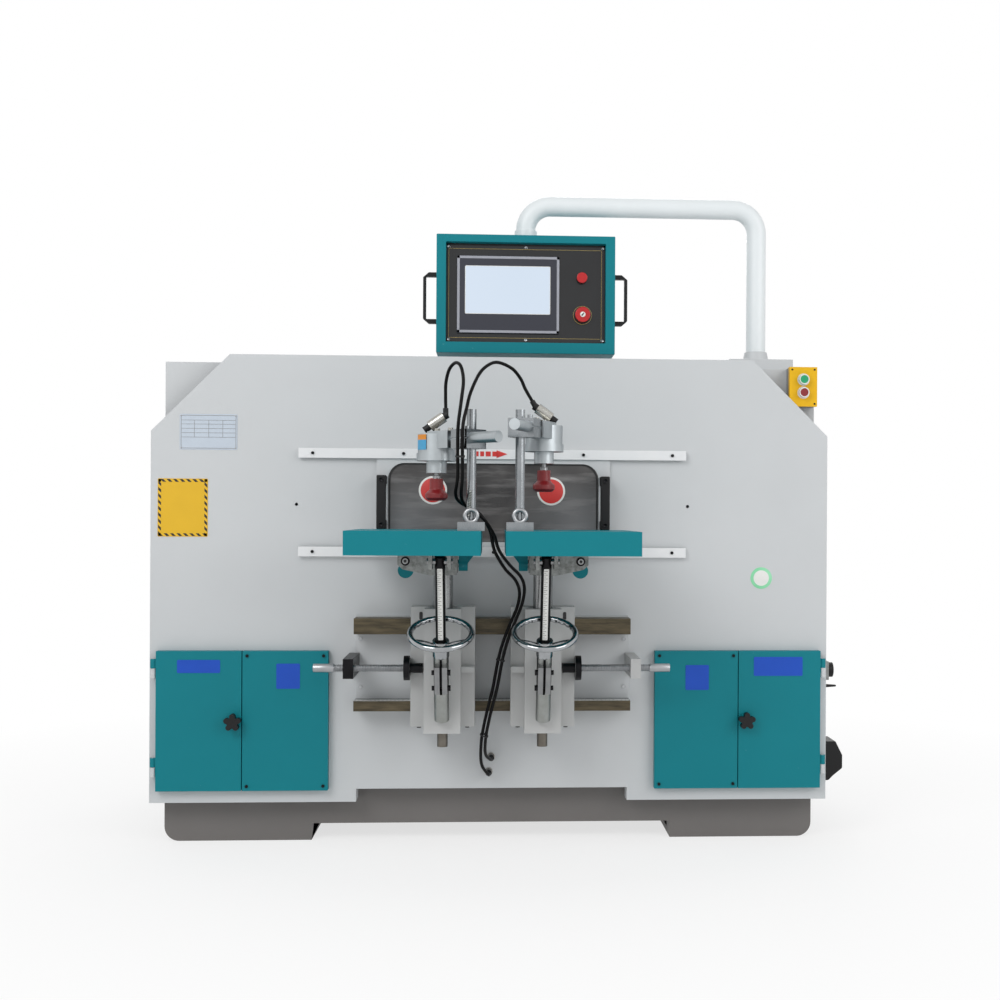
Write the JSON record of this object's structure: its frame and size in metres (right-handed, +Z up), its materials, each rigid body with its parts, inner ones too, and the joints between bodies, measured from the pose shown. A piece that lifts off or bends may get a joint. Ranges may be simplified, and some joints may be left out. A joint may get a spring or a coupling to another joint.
{
  "type": "tenoning machine",
  "caption": "Cabinet tenoning machine with sliding window guard, traversing cutter behind it, tilting height-adjustable work tables with air clamps, and a swing-arm control pendant.",
  "frame": {"origin": "on the floor, in the middle of the rectangle of floor-anchor holes", "axes": "+X to the operator's right along the machine's width, -Y out of the front towards the operator, +Z up"},
  "size_m": [1.811, 1.4882, 1.696],
  "materials": {
    "cabinet_paint": "satin enamel",
    "base_paint": "satin enamel",
    "teal_paint": "satin enamel",
    "white_aluminium": "anodised",
    "oiled_steel": "ground and oiled",
    "bright_steel": "ground",
    "zinc_steel": "zinc plated",
    "black_steel": "black oxide",
    "chrome": "polished",
    "cast_aluminium": "cast",
    "clamp_aluminium": "turned",
    "black_plastic": "fine grain",
    "black_panel": "smooth",
    "yellow_plastic": "moulded",
    "red_plastic": "moulded",
    "green_plastic": "moulded",
    "dark_red_rubber": "moulded",
    "hose_polyurethane": "extruded"
  },
  "bodies": {
    "cabinet": {"base_frame": "base_paint", "front_plate": "cabinet_paint", "rear_housing": "cabinet_paint", "guide_plate": "cabinet_paint", "guide_bars": "oiled_steel", "guard_rails": "white_aluminium", "fixed_panels": "teal_paint", "cabinet_fasteners": "zinc_steel", "dust_hood": "base_paint", "arm_pedestal": "cabinet_paint", "button_box": "yellow_plastic", "screw_nuts": "black_steel", "air_unit": "cast_aluminium", "power_inlet": "black_plastic", "hose_bulkhead": "zinc_steel", "cross_bed": "cabinet_paint", "x_servo_motor": "black_steel"},
    "saddle": {"x_saddle": "cabinet_paint"},
    "spindle": {"spindle_unit": "bright_steel"},
    "cutter": {"cutter_head": "bright_steel"},
    "left_door": {"left_door": "teal_paint"},
    "right_door": {"right_door": "teal_paint"},
    "left_knob": {"left_door_knob": "black_plastic"},
    "right_knob": {"right_door_knob": "black_plastic"},
    "guard": {"guard_panel": "cabinet_paint", "guard_handles": "black_plastic"},
    "arm": {"pendant_arm": "cabinet_paint"},
    "pendant": {"pendant_case": "teal_paint", "pendant_handles": "black_plastic", "pendant_fascia": "black_panel", "touch_screen": "black_panel"},
    "pendant_push": {"pendant_push_button": "red_plastic"},
    "pendant_stop": {"pendant_stop_button": "red_plastic"},
    "start": {"start_button": "green_plastic"},
    "stop": {"stop_button": "red_plastic"},
    "regulator": {"regulator_knob": "black_plastic"},
    "left_carriage": {"left_carriage": "cabinet_paint"},
    "left_lead_screw": {"left_lead_screw": "bright_steel"},
    "left_lift": {"left_lift_slide": "cabinet_paint", "left_column_head": "bright_steel"},
    "left_lift_screw": {"left_lift_screw": "bright_steel"},
    "left_table": {"left_table": "teal_paint", "left_clamp_stand": "clamp_aluminium", "left_clamp_cylinder": "clamp_aluminium", "left_hose": "hose_polyurethane"},
    "left_strut": {"left_strut_rod": "black_steel"},
    "left_wheel": {"left_handwheel": "chrome"},
    "left_foot": {"left_clamp_foot": "dark_red_rubber"},
    "right_carriage": {"right_carriage": "cabinet_paint"},
    "right_lead_screw": {"right_lead_screw": "bright_steel"},
    "right_lift": {"right_lift_slide": "cabinet_paint", "right_column_head": "bright_steel"},
    "right_lift_screw": {"right_lift_screw": "bright_steel"},
    "right_table": {"right_table": "teal_paint", "right_clamp_stand": "clamp_aluminium", "right_clamp_cylinder": "clamp_aluminium", "right_hose": "hose_polyurethane"},
    "right_strut": {"right_strut_rod": "black_steel"},
    "right_wheel": {"right_handwheel": "chrome"},
    "right_foot": {"right_clamp_foot": "dark_red_rubber"}
  },
  "joints": [
    {"name": "cutter_traverse", "type": "slide", "parent": "cabinet", "child": "saddle", "axis": [1, 0, 0], "range_m": [-0.048, 0.322]},
    {"name": "cutter_lift", "type": "slide", "parent": "saddle", "child": "spindle", "axis": [0, 0, 1], "range_m": [-0.05, 0.05]},
    {"name": "cutter_spin", "type": "hinge", "parent": "spindle", "child": "cutter", "pos_m": [-0.137, -0.43, 0.87], "axis": [0, 1, 0], "continuous": true},
    {"name": "left_door_hinge", "type": "hinge", "parent": "cabinet", "child": "left_door", "pos_m": [-0.853, -0.504, 0.31], "axis": [0, 0, 1], "range_deg": [-110, 0]},
    {"name": "right_door_hinge", "type": "hinge", "parent": "cabinet", "child": "right_door", "pos_m": [0.853, -0.504, 0.31], "axis": [0, 0, 1], "range_deg": [0, 110]},
    {"name": "left_knob_turn", "type": "hinge", "parent": "left_door", "child": "left_knob", "pos_m": [-0.65, -0.52, 0.319], "axis": [0, 1, 0], "range_deg": [-90, 90]},
    {"name": "right_knob_turn", "type": "hinge", "parent": "right_door", "child": "right_knob", "pos_m": [0.65, -0.52, 0.319], "axis": [0, 1, 0], "range_deg": [-90, 90]},
    {"name": "guard_slide", "type": "slide", "parent": "cabinet", "child": "guard", "axis": [1, 0, 0], "range_m": [-0.19, 0.19]},
    {"name": "arm_swing", "type": "hinge", "parent": "cabinet", "child": "arm", "pos_m": [0.705, -0.33, 1.3], "axis": [0, 0, 1], "range_deg": [-60, 60]},
    {"name": "pendant_swivel", "type": "hinge", "parent": "arm", "child": "pendant", "pos_m": [0.082, -0.33, 1.58], "axis": [0, 0, 1], "range_deg": [-75, 75]},
    {"name": "pendant_push_press", "type": "slide", "parent": "pendant", "child": "pendant_push", "axis": [0, 1, 0], "range_m": [0, 0.004], "stiffness_N_per_m": 400, "springref_m": -0.002},
    {"name": "pendant_stop_press", "type": "slide", "parent": "pendant", "child": "pendant_stop", "axis": [0, 1, 0], "range_m": [0, 0.004], "stiffness_N_per_m": 400, "springref_m": -0.002},
    {"name": "start_press", "type": "slide", "parent": "cabinet", "child": "start", "axis": [0, 1, 0], "range_m": [0, 0.004], "stiffness_N_per_m": 400, "springref_m": -0.002},
    {"name": "stop_press", "type": "slide", "parent": "cabinet", "child": "stop", "axis": [0, 1, 0], "range_m": [0, 0.004], "stiffness_N_per_m": 400, "springref_m": -0.002},
    {"name": "regulator_turn", "type": "hinge", "parent": "cabinet", "child": "regulator", "pos_m": [0.881, -0.3, 0.47], "axis": [0, 0, 1], "range_deg": [-150, 150]},
    {"name": "left_traverse", "type": "slide", "parent": "cabinet", "child": "left_carriage", "axis": [1, 0, 0], "range_m": [-0.11, 0], "deforming": ["left_hose", "right_hose"]},
    {"name": "left_traverse_screw", "type": "hinge", "parent": "left_carriage", "child": "left_lead_screw", "pos_m": [-0.2, -0.64, 0.467], "axis": [1, 0, 0], "range_deg": [-10000, 10]},
    {"name": "left_lift", "type": "slide", "parent": "left_carriage", "child": "left_lift", "axis": [0, 0, 1], "range_m": [-0.04, 0.04], "deforming": ["left_hose", "right_hose"]},
    {"name": "left_lift_screw_turn", "type": "hinge", "parent": "left_lift", "child": "left_lift_screw", "pos_m": [-0.123, -0.617, 0.4], "axis": [0, 0, 1], "range_deg": [-3000, 3000]},
    {"name": "left_tilt", "type": "hinge", "parent": "left_lift", "child": "left_table", "pos_m": [-0.123, -0.617, 0.722], "axis": [1, 0, 0], "range_deg": [0, 15], "deforming": ["left_hose", "right_hose"]},
    {"name": "left_strut_slide", "type": "slide", "parent": "left_lift", "child": "left_strut", "axis": [0, -0.4226, 0.9063], "range_m": [-0.063, 0.001]},
    {"name": "left_handwheel_turn", "type": "hinge", "parent": "left_lift", "child": "left_wheel", "pos_m": [-0.123, -0.76601, 0.56161], "axis": [0, -0.4226, 0.9063], "range_deg": [-10, 4500]},
    {"name": "left_clamp_press", "type": "slide", "parent": "left_table", "child": "left_foot", "axis": [0, 0, -1], "range_m": [0, 0.04], "stiffness_N_per_m": 200, "springref_m": -0.05},
    {"name": "right_traverse", "type": "slide", "parent": "cabinet", "child": "right_carriage", "axis": [1, 0, 0], "range_m": [0, 0.11], "deforming": ["left_hose", "right_hose"]},
    {"name": "right_traverse_screw", "type": "hinge", "parent": "right_carriage", "child": "right_lead_screw", "pos_m": [0.2, -0.64, 0.467], "axis": [1, 0, 0], "range_deg": [-10, 10000]},
    {"name": "right_lift", "type": "slide", "parent": "right_carriage", "child": "right_lift", "axis": [0, 0, 1], "range_m": [-0.04, 0.04], "deforming": ["left_hose", "right_hose"]},
    {"name": "right_lift_screw_turn", "type": "hinge", "parent": "right_lift", "child": "right_lift_screw", "pos_m": [0.123, -0.617, 0.4], "axis": [0, 0, 1], "range_deg": [-3000, 3000]},
    {"name": "right_tilt", "type": "hinge", "parent": "right_lift", "child": "right_table", "pos_m": [0.123, -0.617, 0.722], "axis": [1, 0, 0], "range_deg": [0, 15], "deforming": ["left_hose", "right_hose"]},
    {"name": "right_strut_slide", "type": "slide", "parent": "right_lift", "child": "right_strut", "axis": [0, -0.4226, 0.9063], "range_m": [-0.063, 0.001]},
    {"name": "right_handwheel_turn", "type": "hinge", "parent": "right_lift", "child": "right_wheel", "pos_m": [0.123, -0.76601, 0.56161], "axis": [0, -0.4226, 0.9063], "range_deg": [-10, 4500]},
    {"name": "right_clamp_press", "type": "slide", "parent": "right_table", "child": "right_foot", "axis": [0, 0, -1], "range_m": [0, 0.04], "stiffness_N_per_m": 200, "springref_m": -0.05}
  ],
  "couplings": [
    {"joint": "left_traverse_screw", "follows": "left_traverse", "rad_per_m": 1570.8},
    {"joint": "left_lift_screw_turn", "follows": "left_lift", "rad_per_m": 1256.6},
    {"joint": "left_strut_slide", "follows": "left_tilt", "m_per_rad": -0.2332},
    {"joint": "left_handwheel_turn", "follows": "left_tilt", "ratio": 293},
    {"joint": "right_traverse_screw", "follows": "right_traverse", "rad_per_m": 1570.8},
    {"joint": "right_lift_screw_turn", "follows": "right_lift", "rad_per_m": 1256.6},
    {"joint": "right_strut_slide", "follows": "right_tilt", "m_per_rad": -0.2332},
    {"joint": "right_handwheel_turn", "follows": "right_tilt", "ratio": 293}
  ]
}
